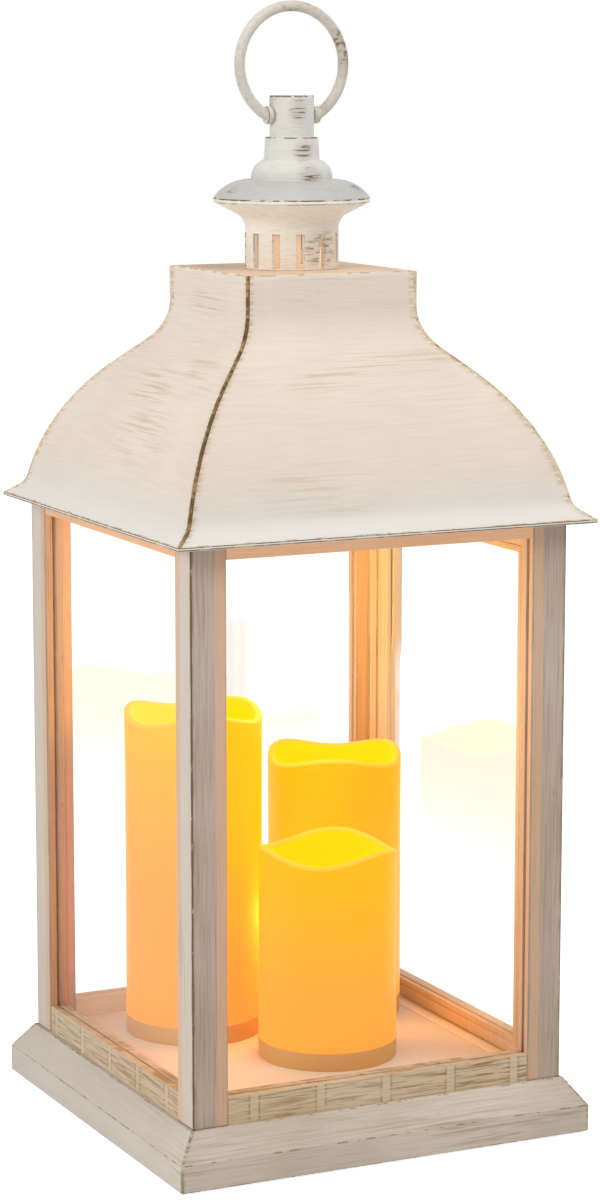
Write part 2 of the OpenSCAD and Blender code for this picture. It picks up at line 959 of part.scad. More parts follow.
// Open ring of wire; a flat eye at each end turns on the pivot pin
module carrying_ring() {
  color([0.80, 0.78, 0.73])
    difference() {
      union() {
        translate([0, 0, ring_centre_z])
          rotate([90, 0, 0])
            rotate([0, 0, -ring_open])
              rotate_extrude(angle = 180 + 2 * ring_open)
                translate([ring_r, 0])
                  circle(r = wire_r);
        for (s = [-1, 1])
          translate([s * (eye_in + eye_t / 2), 0, pivot_z])
            rotate([0, 90, 0])
              rod(eye_r, -eye_t / 2, eye_t / 2);
      }
      translate([0, 0, pivot_z])
        rotate([0, 90, 0])
          rod(pivot_r + run_fit, -ring_r, ring_r);
      translate([0, 0, pivot_z])
        rotate([0, 90, 0])
          rod(eye_r * 2, -eye_in, eye_in);
    }
}

// ---- Candles ----------------------------------------------------------

// Places its children at the foot of candle i
module at_candle(i) {
  translate([
    triangle_x + triangle_r * cos(candle_turn[i]),
    triangle_y + triangle_r * sin(candle_turn[i]),
    floor_z
  ])
    children();
}

function crest_z(i) = candle_h[i] + rim_wave / 2;
function candle_deck_z(i) = candle_h[i] - candle_hollow;

// Wax tube whose rim has three shallow dips; its inner deck carries the lamp
module candle_shell(i) {
  dip_r = (pow(candle_r * sin(60), 2) + rim_wave * rim_wave) / (2 * rim_wave);
  color([1, 0.72, 0.28])
    at_candle(i)
      difference() {
        rod(candle_r, band_h, crest_z(i));
        rod(candle_bore_r, band_h - over, candle_deck_z(i) - led_deck_t);
        rod(candle_bore_r, candle_deck_z(i), crest_z(i) + over);
        rod(led_r + slip, candle_deck_z(i) - led_deck_t - over, candle_deck_z(i) + over);
        for (a = [60:120:300])
          rotate([0, 0, rim_turn[i] + a])
            translate([0, 0, crest_z(i) - rim_wave + dip_r])
              rotate([0, 90, 0])
                rod(dip_r, 0, candle_r + over);
      }
}

module candle_base(i) {
  plate_top = base_plate_z + base_plate_t;
  holder_top = base_plate_z + twist_cover_t + cell_l + cell_play;
  slot_half_x = (switch_w + switch_travel) / 2 + slip;
  color([0.78, 0.63, 0.37])
    at_candle(i)
      difference() {
        rotate_extrude()
          polygon([
            [0, base_plate_z],
            [candle_r - foot_ring_t, base_plate_z],
            [candle_r - foot_ring_t, 0],
            [candle_r, 0],
            [candle_r, band_h],
            [candle_bore_r - fit, band_h],
            [candle_bore_r - fit, band_h + spigot_h],
            [spigot_in_r, band_h + spigot_h],
            [spigot_in_r, plate_top],
            [holder_r + holder_t, plate_top],
            [holder_r + holder_t, holder_top + holder_t],
            [0, holder_top + holder_t]
          ]);
        rod(holder_r, base_plate_z - over, holder_top);
        rod(twist_cover_r + slip, base_plate_z - over, base_plate_z + twist_cover_t);
        translate([0, -switch_at, 0])
          centred_box(slot_half_x, switch_w / 2 + slip, base_plate_z - over, plate_top + over);
      }
}

module candle_battery_cover(i) {
  coin_l = 9;
  coin_w = 1.2;
  coin_t = 1;
  color([0.70, 0.56, 0.32])
    at_candle(i)
      difference() {
        rod(twist_cover_r, base_plate_z, base_plate_z + twist_cover_t);
        centred_box(coin_l, coin_w, base_plate_z - over, base_plate_z + coin_t);
      }
}

module candle_batteries(i) {
  foot = base_plate_z + twist_cover_t + cell_play / 2;
  color([0.30, 0.34, 0.38])
    at_candle(i)
      for (a = [90:120:330])
        rotate([0, 0, a])
          translate([cell_at, 0, 0])
            rod(cell_r, foot, foot + cell_l);
}

module candle_switch(i) {
  plate_top = base_plate_z + base_plate_t;
  keeper = 1.5;
  keeper_z = plate_top + fit;
  keeper_t = 1.2;
  knob_down = 1;
  color([0.10, 0.10, 0.10])
    at_candle(i)
      translate([-switch_travel / 2, -switch_at, 0]) {
        centred_box(switch_w / 2, switch_w / 2, base_plate_z - knob_down, keeper_z + keeper_t / 2);
        centred_box(switch_w / 2 + keeper, switch_w / 2 + keeper, keeper_z, keeper_z + keeper_t);
      }
}

module candle_led_board(i) {
  top = candle_deck_z(i) - led_deck_t - board_drop;
  spacer_r = 1.2;
  spacer_in = 2;
  color([0.15, 0.42, 0.22])
    at_candle(i) {
      rod(board_r, top - board_t, top);
      for (a = [0:90:270])
        rotate([0, 0, a])
          translate([board_r - spacer_in, 0, 0])
            rod(spacer_r, top, top + board_drop);
    }
}

module candle_led(i) {
  foot = candle_deck_z(i) - led_deck_t - board_drop;
  tip = candle_deck_z(i) + led_up;
  color([1, 0.93, 0.60])
    at_candle(i) {
      rod(led_r, foot, tip - led_r);
      translate([0, 0, tip - led_r])
        sphere(r = led_r);
    }
}

plinth();
bottom_cover();
cover_screws();
foot_pads();
floor_plate();
frame_screws();
post_front_left();
post_front_right();
post_back_left();
post_back_right();
bottom_rail_front();
bottom_rail_left();
bottom_rail_back();
door_sill();
top_rail_front();
top_rail_left();
top_rail_back();
door_head();
pane_front();
pane_left();
pane_back();
door_frame();
door_pane();
door_pane_bead();
door_pivot_pins();
door_washer();
latch_button();
latch_screw();
roof_shell();
roof_screws();
vent_tube();
vent_clamp_ring();
vent_screws();
cupola_cap();
ring_stem();
stem_bolt();
ring_pivot_pin();
carrying_ring();
candle_shell(0);  // short_candle_shell
candle_base(0);  // short_candle_base
candle_battery_cover(0);  // short_candle_battery_cover
candle_batteries(0);  // short_candle_batteries
candle_switch(0);  // short_candle_switch
candle_led_board(0);  // short_candle_led_board
candle_led(0);  // short_candle_led
candle_shell(1);  // middle_candle_shell
candle_base(1);  // middle_candle_base
candle_battery_cover(1);  // middle_candle_battery_cover
candle_batteries(1);  // middle_candle_batteries
candle_switch(1);  // middle_candle_switch
candle_led_board(1);  // middle_candle_led_board
candle_led(1);  // middle_candle_led
candle_shell(2);  // tall_candle_shell
candle_base(2);  // tall_candle_base
candle_battery_cover(2);  // tall_candle_battery_cover
candle_batteries(2);  // tall_candle_batteries
candle_switch(2);  // tall_candle_switch
candle_led_board(2);  // tall_candle_led_board
candle_led(2);  // tall_candle_led
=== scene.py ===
import math

import bmesh
import bpy
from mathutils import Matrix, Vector


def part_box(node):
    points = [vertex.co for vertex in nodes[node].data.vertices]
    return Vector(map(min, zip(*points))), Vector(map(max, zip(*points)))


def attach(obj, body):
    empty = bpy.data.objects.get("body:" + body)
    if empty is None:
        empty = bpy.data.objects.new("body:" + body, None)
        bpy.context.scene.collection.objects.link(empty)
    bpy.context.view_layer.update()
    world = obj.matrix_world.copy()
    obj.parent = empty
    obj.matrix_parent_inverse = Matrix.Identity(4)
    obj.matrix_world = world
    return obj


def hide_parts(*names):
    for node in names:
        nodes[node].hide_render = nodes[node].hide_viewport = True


# A whitewashed candle lantern: plinth, corner posts, ogee roof, vented cupola, carrying ring,
# clear panes, one glazed door and three battery pillar candles. Metres, +Z up, front is -Y.

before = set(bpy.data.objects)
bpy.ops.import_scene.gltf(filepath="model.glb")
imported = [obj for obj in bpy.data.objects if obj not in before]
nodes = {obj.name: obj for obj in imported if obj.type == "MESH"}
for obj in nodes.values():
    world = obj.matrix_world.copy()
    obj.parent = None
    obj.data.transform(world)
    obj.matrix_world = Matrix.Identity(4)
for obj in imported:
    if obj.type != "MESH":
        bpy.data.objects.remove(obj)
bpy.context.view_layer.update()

MM = 0.001
CANDLES = ("short", "middle", "tall")


# ---- Places and sizes, from the frame ----------------------------------------------------

plinth_low, plinth_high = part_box("plinth")
post_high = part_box("post_back_right")[1]
roof_low, roof_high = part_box("roof_shell")
vent_low, vent_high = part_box("vent_tube")
cap_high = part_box("cupola_cap")[1]
stem_low, stem_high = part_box("ring_stem")
ring_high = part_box("carrying_ring")[1]
floor_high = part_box("floor_plate")[1]

frame_half = post_high.x
leg_end = frame_half - 21 * MM  # where a post ends and its opening starts


def linear(r, g, b):
    """A colour given in 0-255 display values, as the shader's linear values."""
    def one(v):
        v /= 255
        return v / 12.92 if v <= 0.04045 else ((v + 0.055) / 1.055) ** 2.4
    return (one(r), one(g), one(b), 1.0)


# ---- Shader helpers ----------------------------------------------------------------------

class Shader:
    """A material's node tree, with short calls for the nodes used here."""

    def __init__(self, name):
        self.material = bpy.data.materials.new(name)
        self.material.use_nodes = True
        self.tree = self.material.node_tree
        self.surface = self.tree.nodes["Principled BSDF"]
        self.output = self.tree.nodes["Material Output"]
        self.place = self.add("TexCoord").outputs["Object"]

    def add(self, kind, inputs=None, **settings):
        node = self.tree.nodes.new("ShaderNode" + kind)
        for key, value in settings.items():
            setattr(node, key, value)
        for key, value in (inputs or {}).items():
            self.put(node.inputs[key], value)
        return node

    def put(self, socket, value):
        if isinstance(value, bpy.types.NodeSocket):
            self.tree.links.new(value, socket)
        else:
            socket.default_value = value

    def set(self, **inputs):
        """Sets the surface's own sockets; a name's underscores stand for spaces."""
        for key, value in inputs.items():
            self.put(self.surface.inputs[key.replace("_", " ")], value)

    def math(self, operation, a, b=0.0, c=0.0):
        return self.add("Math", {0: a, 1: b, 2: c}, operation=operation).outputs[0]

    def stretched(self, scale, shift=(0, 0, 0)):
        return self.add(
            "VectorMath", {0: self.place, 1: scale, 2: shift}, operation="MULTIPLY_ADD"
        ).outputs[0]

    def noise(self, vector, scale=1.0, detail=3.0, rough=0.5, warp=0.0):
        node = self.add(
            "TexNoise",
            {"Vector": vector, "Scale": scale, "Detail": detail, "Roughness": rough, "Distortion": warp},
        )
        return node.outputs["Fac"]

    def step(self, value, low, high):
        """0 below low, 1 above high, smooth between them."""
        return self.add(
            "MapRange",
            {"Value": value, "From Min": low, "From Max": high},
            interpolation_type="SMOOTHSTEP",
        ).outputs["Result"]

    def spread(self, value, low, high):
        """A value of 0 to 1 as low to high."""
        return self.add("MapRange", {"Value": value, "To Min": low, "To Max": high}).outputs[0]

    def mix(self, share, a, b):
        node = self.add("Mix", data_type="RGBA")
        self.put(node.inputs[0], share)
        self.put(node.inputs[6], a)
        self.put(node.inputs[7], b)
        return node.outputs[2]

    def axes(self):
        node = self.add("SeparateXYZ", {0: self.place})
        return node.outputs[0], node.outputs[1], node.outputs[2]

    def nearer_plane(self):
        """The smaller of |x| and |y|, which is largest at the object's four corners."""
        x, y, _ = self.axes()
        return self.math("MINIMUM", self.math("ABSOLUTE", x), self.math("ABSOLUTE", y))

    def raised(self, amount, mask, share):
        """The amount, or the mask's share where that is more."""
        return self.math("MAXIMUM", amount, self.math("MULTIPLY", mask, share))

    def spot(self, centre, radii):
        """1 at a place on the object, fading to 0 at the radii round it."""
        inverse = tuple(1 / r for r in radii)
        moved = self.add(
            "VectorMath", {0: self.place, 1: tuple(-c for c in centre)}, operation="ADD"
        ).outputs[0]
        scaled = self.add("VectorMath", {0: moved, 1: inverse}, operation="MULTIPLY").outputs[0]
        far = self.add("VectorMath", {0: scaled}, operation="LENGTH").outputs["Value"]
        return self.step(far, 1.0, 0.3)

    def bump(self, height, strength, distance):
        node = self.add("Bump", {"Height": height, "Strength": strength, "Distance": distance})
        self.put(self.surface.inputs["Normal"], node.outputs["Normal"])


# ---- Paint: whitewash over a moulded wood grain ------------------------------------------

HORIZONTAL = (32.0, 32.0, 1150.0)
VERTICAL = (1250.0, 1250.0, 28.0)
DABBED = (150.0, 150.0, 1300.0)

# Pale bars divide the bottom rails' brown panels; the shift sets where they fall
BAR_STEP = 40.6 * MM
BAR_SHIFT = 313.7 * MM


def whitewash(
    name,
    colour,
    shade,
    brown,
    grain=HORIZONTAL,
    fibre=0.35,
    streaks=0.6,
    cover=0.62,
    worn=0.0,
    spots=(),
    seed=0.0,
    rough=0.62,
    bump=0.35,
    hip=0.0,
    specks=0.25,
    fibre_colour=None,
    painted_glow_strip=None,
    bars=0.0,
    side=None,
    foot=None,
    glow=None,
    outer=False,
    haze=0.0,
):
    """Paint with fine fibres along the grain, brown dry-brush streaks in patches, and specks.

    cover is how high the patch noise must be for streaks; worn is how much of the surface
    shows brown, for edges; spots are (centre, radii) where streaks are strong; hip is how far
    wear reaches from the vertical planes through the four corners. painted_glow_strip is a
    painted glow: the colour given to the thin walls beside the pane grooves for the lamplight
    that comes through them. bars sets how strongly pale bars divide the streaks. side is painted
    light and shade: the colour of the faces that face X, set apart as the key light from the
    left makes them look. foot is (z0, z1, colour): the paint turns to that colour from z1 down
    to z0. glow is the colour and strength of an emission that paints in the lamplight coming
    through thin walls. outer keeps the wear to the frame's outside corners, and haze tints the
    patches between the streaks.
    """
    s = Shader(name)
    along = s.stretched(grain, (seed * 3.1, seed * 1.7, seed * 2.3))
    fine = s.noise(along, 1.0, 5.0, 0.62)
    lines = s.noise(along, 0.55, 4.0, 0.6, 0.3)
    broad = s.noise(s.stretched((9, 9, 9), (seed, 0, 0)), 1.0, 3.0)
    patch_scale = tuple(6 + 22 * (g > 100) for g in grain)
    patch = s.step(s.noise(s.stretched(patch_scale, (seed * 5, 2, 1)), 1.0, 2.5), cover, cover + 0.14)
    for centre, radii in spots:
        patch = s.math("MAXIMUM", patch, s.spot(centre, radii))
    if bars:
        x, y, _ = s.axes()
        run = s.math("MODULO", s.math("ADD", s.math("ADD", x, y), BAR_SHIFT), BAR_STEP)
        off_bar = s.math("ABSOLUTE", s.math("SUBTRACT", run, BAR_STEP / 2))
        panel_end = BAR_STEP / 2 - 3.0 * MM
        panel = s.step(off_bar, BAR_STEP / 2 - 1.8 * MM, panel_end)
        joint = s.math("MULTIPLY", panel, s.step(off_bar, BAR_STEP / 2 - 4.4 * MM, panel_end))
        patch = s.math("MULTIPLY", s.math("MAXIMUM", patch, bars), panel)
    streak = s.math("MULTIPLY", s.step(lines, 0.48, 0.62), patch)
    thin = s.math("MULTIPLY", s.step(fine, 0.60, 0.74), s.step(broad, 0.42, 0.62))
    speck_scale = (330, 330, 330) if grain[2] > 100 else (420, 420, 150)
    speck = s.step(s.noise(s.stretched(speck_scale), 1.0, 2.0), 0.70, 0.78)

    tone = s.mix(s.step(broad, 0.30, 0.70), colour, shade)
    tone = s.mix(s.math("MULTIPLY", s.step(fine, 0.35, 0.75), fibre), tone, fibre_colour or brown)
    if foot:
        z0, z1, low_colour = foot
        tone = s.mix(s.step(s.axes()[2], z1, z0), tone, low_colour)
    # Painted light and shade: faces that face X get their own colour, as the key light from the left makes
    # them look.
    if side:
        facing = s.add("SeparateXYZ", {0: s.add("TexCoord").outputs["Normal"]}).outputs[0]
        tone = s.mix(s.math("MULTIPLY", s.step(s.math("ABSOLUTE", facing), 0.6, 0.9), 0.75), tone, side)
    # Painted glow: the thin walls beside the pane grooves take a warm colour for the lamplight that comes
    # through them.
    if painted_glow_strip:
        glow_by_groove = s.step(s.nearer_plane(), leg_end + 7.2 * MM, leg_end + 6.2 * MM)
        tone = s.mix(s.math("MULTIPLY", glow_by_groove, 0.62), tone, painted_glow_strip)
    amount = s.math("MULTIPLY", s.math("MAXIMUM", streak, s.math("MULTIPLY", thin, 0.35)), streaks)
    amount = s.raised(amount, speck, specks)
    if bars:
        amount = s.raised(amount, s.math("MULTIPLY", joint, s.step(lines, 0.40, 0.55)), 0.7)
    if haze:
        amount = s.raised(amount, patch, haze)
    if outer:
        at_corner = s.step(s.nearer_plane(), frame_half - 2.6 * MM, frame_half - 0.8 * MM)
        ragged = s.step(s.noise(s.stretched((300, 300, 60), (seed, 1, 0)), 1.0, 3.0), 0.35, 0.60)
        amount = s.raised(amount, s.math("MULTIPLY", at_corner, ragged), 0.5)
    if worn:
        flake = s.noise(s.stretched((140, 140, 140), (seed, 4, 0)), 1.0, 4.0, 0.6)
        chips = s.step(flake, 0.66 - 0.3 * worn, 0.74 - 0.3 * worn)
        if outer:
            chips = s.math("MULTIPLY", chips, s.math("MULTIPLY_ADD", at_corner, 0.85, 0.15))
        amount = s.raised(amount, chips, 0.55 + 0.4 * worn)
    if hip:
        x, y, _ = s.axes()
        gap = s.math("ABSOLUTE", s.math("SUBTRACT", s.math("ABSOLUTE", x), s.math("ABSOLUTE", y)))
        near = s.math("MULTIPLY", s.step(gap, hip, 0.0), s.step(lines, 0.42, 0.60))
        amount = s.raised(amount, near, 0.75)
    s.set(Base_Color=s.mix(amount, tone, brown))
    s.set(Roughness=s.spread(fine, rough - 0.12, rough + 0.16))
    s.surface.inputs["Specular IOR Level"].default_value = 0.35
    # Painted lamplight: an emission for the light that comes through thin walls.
    if glow:
        s.set(Emission_Color=glow[0], Emission_Strength=glow[1])
    s.bump(s.math("SUBTRACT", fine, s.math("MULTIPLY", amount, 0.6)), bump, 0.35 * MM)
    return s.material


POST_PAINT = dict(colour=linear(206, 189, 173), shade=linear(190, 169, 150), brown=linear(100, 78, 46))
ROOF_PAINT = dict(
    colour=linear(246, 233, 219), shade=linear(238, 224, 209), brown=linear(196, 160, 106),
    fibre_colour=linear(216, 196, 168),
)
PLINTH_PAINT = dict(colour=linear(221, 209, 194), shade=linear(205, 192, 176), brown=linear(134, 106, 66))
RAIL_PAINT = dict(
    colour=linear(228, 211, 187), shade=linear(214, 192, 162), brown=linear(142, 104, 52),
    fibre_colour=linear(180, 148, 100),
)
DOOR_PAINT = dict(colour=linear(226, 208, 182), shade=linear(214, 194, 164), brown=linear(160, 128, 84))
# Peach paint for the top rails and the door head: painted lamplight, the candles' glow coming through the
# thin plastic under the eave.
TOP_RAIL_LAMPLIT_PAINT = dict(colour=linear(234, 192, 158), shade=linear(226, 180, 144), brown=linear(150, 108, 66))
CUPOLA_PAINT = dict(colour=linear(236, 234, 228), shade=linear(226, 223, 215), brown=linear(108, 80, 40))
# A darker copy of the cupola paint for the dome, which faces up: painted shade that holds back the light from
# above.
DOME_SHADED_PAINT = dict(colour=linear(208, 208, 203), shade=linear(198, 197, 190), brown=linear(108, 80, 40))
TUBE_PAINT = dict(colour=linear(240, 234, 223), shade=linear(232, 222, 208), brown=linear(112, 80, 40))

# Patches of strong brown streaks on the cupola: centre and radii
DRY_BRUSH = [
    ((0.000, -0.018, 0.5545), (0.009, 0.010, 0.008)),
    ((0.001, -0.020, 0.541), (0.010, 0.012, 0.008)),
    ((-0.002, -0.016, 0.576), (0.009, 0.010, 0.012)),
    ((0.006, -0.026, 0.500), (0.016, 0.014, 0.015)),
    ((0.026, -0.024, 0.533), (0.010, 0.010, 0.005)),
    ((-0.036, -0.004, 0.532), (0.007, 0.010, 0.004)),
]

paint = {
    # The posts' strip colour is a painted glow of lamplight through the thin walls by the pane grooves.
    "post": whitewash(
        "post_paint", grain=VERTICAL, fibre=0.38, streaks=0.6, cover=0.60, seed=1,
        # The posts' side colour is painted light: their X-facing faces lighter, as lit from the left.
        painted_glow_strip=linear(228, 184, 146), side=linear(226, 216, 203), outer=True, **POST_PAINT,
    ),
    "post_edge": whitewash(
        "post_edge_paint", grain=VERTICAL, fibre=0.5, streaks=0.9, worn=1.0, seed=1, specks=0.6,
        outer=True, **POST_PAINT,
    ),
    "rail": whitewash(
        "rail_paint", grain=(60.0, 60.0, 1400.0), fibre=0.45, streaks=0.85, cover=0.46, seed=2,
        bars=0.65, **RAIL_PAINT,
    ),
    "rail_edge": whitewash("rail_edge_paint", fibre=0.4, streaks=0.6, worn=0.15, seed=2, **RAIL_PAINT),
    "door": whitewash(
        "door_paint", grain=VERTICAL, fibre=0.25, streaks=0.4, cover=0.64, seed=10, **DOOR_PAINT,
    ),
    # The back rail's glow is painted lamplight from the candles.
    "back_rail": whitewash(
        "back_rail_paint", fibre=0.25, streaks=0.4, cover=0.62, seed=11,
        glow=(linear(255, 226, 168), 0.10), **DOOR_PAINT,
    ),
    # The top rails' peach colour and glow are painted lamplight.
    "top_rail": whitewash(
        "top_rail_lamplit_paint", fibre=0.2, streaks=0.5, seed=8,
        glow=(linear(255, 196, 140), 0.17), **TOP_RAIL_LAMPLIT_PAINT,
    ),
    "plinth": whitewash(
        "plinth_paint", fibre=0.26, streaks=0.42, cover=0.56, seed=3, hip=3 * MM,
        # The plinth's side colour is painted light: its X-facing faces as lit from the left.
        side=linear(218, 211, 200), **PLINTH_PAINT,
    ),
    "plinth_edge": whitewash(
        "plinth_edge_paint", fibre=0.4, streaks=0.6, worn=0.5, seed=3, hip=4 * MM, **PLINTH_PAINT,
    ),
    "roof": whitewash(
        "roof_paint", fibre=0.28, streaks=0.42, cover=0.58, seed=4, hip=6 * MM, specks=0.1,
        grain=(36.0, 36.0, 1350.0),
        foot=(roof_low.z, roof_low.z + 34 * MM, linear(236, 232, 225)),
        spots=[
            ((-0.100, -0.020, 0.400), (0.030, 0.050, 0.022)),
            ((-0.085, 0.005, 0.425), (0.030, 0.045, 0.018)),
            ((0.020, -0.075, 0.440), (0.040, 0.030, 0.008)),
            ((-0.052, 0.005, 0.470), (0.010, 0.030, 0.012)),
            ((-0.020, -0.054, 0.478), (0.022, 0.010, 0.006)),
        ],
        **ROOF_PAINT,
    ),
    "roof_edge": whitewash("roof_edge_paint", fibre=0.4, streaks=0.9, worn=0.55, seed=4, **ROOF_PAINT),
    "roof_lip": whitewash(
        "roof_lip_paint", colour=linear(214, 200, 178), shade=linear(186, 164, 130), brown=linear(98, 76, 44),
        fibre=0.6, streaks=1.0, worn=0.85, seed=9,
    ),
    "neck_plate": whitewash(
        "neck_plate_paint", fibre=0.15, streaks=0.3, seed=4,
        colour=linear(236, 208, 182), shade=linear(230, 200, 172), brown=linear(190, 150, 110),
    ),
    "hip": whitewash(
        "hip_paint", colour=linear(222, 188, 140), shade=linear(166, 132, 82), brown=linear(84, 64, 34),
        fibre=0.7, streaks=1.0, cover=0.34, worn=0.62, seed=5, bump=0.9, specks=0.7,
        grain=(700.0, 700.0, 380.0),
    ),
    "hip_soft": whitewash(
        "hip_soft_paint",
        colour=linear(238, 224, 204), shade=linear(222, 200, 166), brown=linear(150, 120, 74),
        fibre=0.5, streaks=0.8, cover=0.45, worn=0.3, seed=5, bump=0.8, grain=(420.0, 420.0, 200.0),
    ),
    "cupola": whitewash(
        "cupola_paint", fibre=0.12, streaks=0.95, cover=0.68, seed=6, rough=0.5, bump=0.2, specks=0.15,
        grain=DABBED, spots=DRY_BRUSH, haze=0.22, **CUPOLA_PAINT,
    ),
    # The dome's darker paint is painted shade.
    "dome": whitewash(
        "dome_shaded_paint", fibre=0.12, streaks=0.95, cover=0.70, seed=6, rough=0.5, bump=0.2, specks=0.15,
        grain=DABBED, spots=DRY_BRUSH, haze=0.22, **DOME_SHADED_PAINT,
    ),
    # The vent tube's glow is painted lamplight rising from the candles.
    "tube": whitewash(
        "tube_paint", fibre=0.15, streaks=0.95, cover=0.66, seed=6, rough=0.5, bump=0.2, specks=0.2,
        grain=DABBED, spots=DRY_BRUSH, glow=(linear(255, 240, 218), 0.12), haze=0.16, **TUBE_PAINT,
    ),
    "tube_edge": whitewash(
        "tube_edge_paint", fibre=0.5, streaks=0.9, worn=0.6, seed=6, grain=DABBED, **TUBE_PAINT,
    ),
    "cupola_edge": whitewash(
        "cupola_edge_paint", fibre=0.3, streaks=0.9, worn=0.75, seed=6, grain=DABBED, **CUPOLA_PAINT,
    ),
    "ring": whitewash(
        "ring_paint", colour=linear(232, 227, 215), shade=linear(216, 209, 195), brown=linear(120, 90, 48),
        grain=(300, 300, 500), fibre=0.2, streaks=0.9, cover=0.62, seed=7, rough=0.5, bump=0.25,
        spots=[((0.029, -0.002, 0.609), (0.009, 0.010, 0.020))], haze=0.15,
    ),
}


def plain(name, colour, rough, metallic=0.0, grain=400.0, depth=0.12):
    """Moulded plastic, steel or rubber: one colour with fine mottling in colour, gloss and bump."""
    s = Shader(name)
    mottle = s.noise(s.stretched((grain,) * 3), 1.0, 3.0)
    darker = tuple(0.82 * c for c in colour[:3]) + (1.0,)
    s.set(Base_Color=s.mix(s.step(mottle, 0.3, 0.7), darker, colour))
    s.set(Roughness=s.spread(mottle, rough - 0.08, rough + 0.1))
    s.surface.inputs["Metallic"].default_value = metallic
    s.bump(mottle, depth, 0.1 * MM)
    return s.material


PANE_IOR = 1.12  # lower than glass, so that the near panes don't veil the candles

# The candles' reflections in the far panes come from a band of raised index, which no real
# glass has: heights where it grows and where it fades again, and the index between them
BACK_MIRROR = (0.155, 0.225, 0.262, 0.290, 2.5)
DOOR_MIRROR = (0.115, 0.205, 0.232, 0.262, 2.6)


def clear_pane(name, mirror=None):
    """Clear glass that lets the lamps and soft light through, with a mirror band if given."""
    s = Shader(name)
    s.set(Base_Color=(1, 1, 1, 1), Roughness=0.0, IOR=PANE_IOR, Transmission_Weight=1.0)
    if mirror:
        z0, z1, z2, z3, high = mirror
        z = s.axes()[2]
        share = s.math("MULTIPLY", s.step(z, z0, z1), s.step(z, z3, z2))
        s.set(IOR=s.math("MULTIPLY_ADD", share, high - PANE_IOR, PANE_IOR))
    path = s.add("LightPath").outputs
    passes = s.math("MAXIMUM", path["Is Shadow Ray"], path["Is Diffuse Ray"])
    through = s.add("BsdfTransparent")
    blend = s.add("MixShader", {0: passes, 1: s.surface.outputs[0], 2: through.outputs[0]})
    s.put(s.output.inputs["Surface"], blend.outputs[0])
    return s.material


def wax(name, foot_z, rim_z, centre_x, low, high, strength, base, lean=2.5):
    """Wax lit from inside: its glow turns from low at the foot to high at the rim, and towards
    +X by lean for each metre, since the candles light each other."""
    s = Shader(name)
    x, _, z = s.axes()
    height = s.add("MapRange", {"Value": z, "From Min": foot_z, "From Max": rim_z}).outputs[0]
    cloud = s.noise(s.stretched((30, 30, 30)), 1.0, 2.0)
    side = s.math("MULTIPLY", s.math("SUBTRACT", x, centre_x), lean)
    uneven = s.math("MULTIPLY", s.math("SUBTRACT", cloud, 0.5), 0.25)
    share = s.math("ADD", s.math("ADD", height, side), uneven)
    glow = s.mix(s.step(share, 0.05, 0.95), low, high)
    s.set(Base_Color=base, Roughness=0.42, Emission_Color=glow, Emission_Strength=strength)
    s.surface.inputs["Specular IOR Level"].default_value = 0.12
    s.bump(s.noise(s.stretched((120, 120, 120)), 1.0, 3.0), 0.12, 0.3 * MM)
    return s.material


def lit(name, colour, glow, strength, rough=0.5):
    """A surface with its own even glow."""
    s = Shader(name)
    mottle = s.noise(s.stretched((60, 60, 60)), 1.0, 3.0)
    dim = tuple(0.9 * c for c in glow[:3]) + (1.0,)
    s.set(Base_Color=colour, Roughness=rough)
    s.set(Emission_Color=s.mix(mottle, dim, glow), Emission_Strength=strength)
    s.bump(mottle, 0.1, 0.2 * MM)
    return s.material


# ---- Mesh helpers ------------------------------------------------------------------------

def arc(a, b, sag, count, first):
    """Points of the arc from a to b that rises by sag to the left of a-b, as in the CAD."""
    a, b = Vector(a), Vector(b)
    chord = (b - a).length
    u = (b - a) / chord
    v = Vector((-u.y, u.x))
    r = (chord * chord / 4 + sag * sag) / (2 * sag)
    half = math.asin(max(-1.0, min(1.0, chord / (2 * r))))
    centre = (a + b) / 2 + v * (sag - r)
    return [
        tuple(centre + u * r * math.sin(t) + v * r * math.cos(t))
        for t in (half * (2 * i / count - 1) for i in range(first, count + 1))
    ]


def fillet(points, radii, count=4, closed=False):
    """The 2D path with each corner rounded to its radius; 0 keeps a corner. Returns the
    points and, for each, the corner that it rounds, or -1."""
    path, marks = [], []
    last = len(points)
    for i, (p, r) in enumerate(zip(points, radii)):
        p = Vector(p)
        if r <= 0 or (not closed and i in (0, last - 1)):
            path.append(tuple(p))
            marks.append(-1)
            continue
        a = (Vector(points[i - 1]) - p).normalized()
        b = (Vector(points[(i + 1) % last]) - p).normalized()
        angle = a.angle(b)
        reach = r / math.tan(angle / 2)
        centre = p + (a + b).normalized() * (r / math.sin(angle / 2))
        start, end = p + a * reach - centre, p + b * reach - centre
        turn = start.angle_signed(end)
        for k in range(count + 1):
            t = -turn * k / count
            path.append((
                centre.x + start.x * math.cos(t) - start.y * math.sin(t),
                centre.y + start.x * math.sin(t) + start.y * math.cos(t),
            ))
            marks.append(i)
    return path, marks


def mesh_object(name, verts, faces, slots, materials):
    mesh = bpy.data.meshes.new(name)
    mesh.from_pydata(verts, [], faces)
    for m in materials:
        mesh.materials.append(m)
    mesh.polygons.foreach_set("material_index", slots)
    mesh.polygons.foreach_set("use_smooth", [True] * len(faces))
    mesh.update()
    built = bmesh.new()
    built.from_mesh(mesh)
    bmesh.ops.recalc_face_normals(built, faces=built.faces)
    built.to_mesh(mesh)
    built.free()
    obj = bpy.data.objects.new(name, mesh)
    bpy.context.scene.collection.objects.link(obj)
    return obj


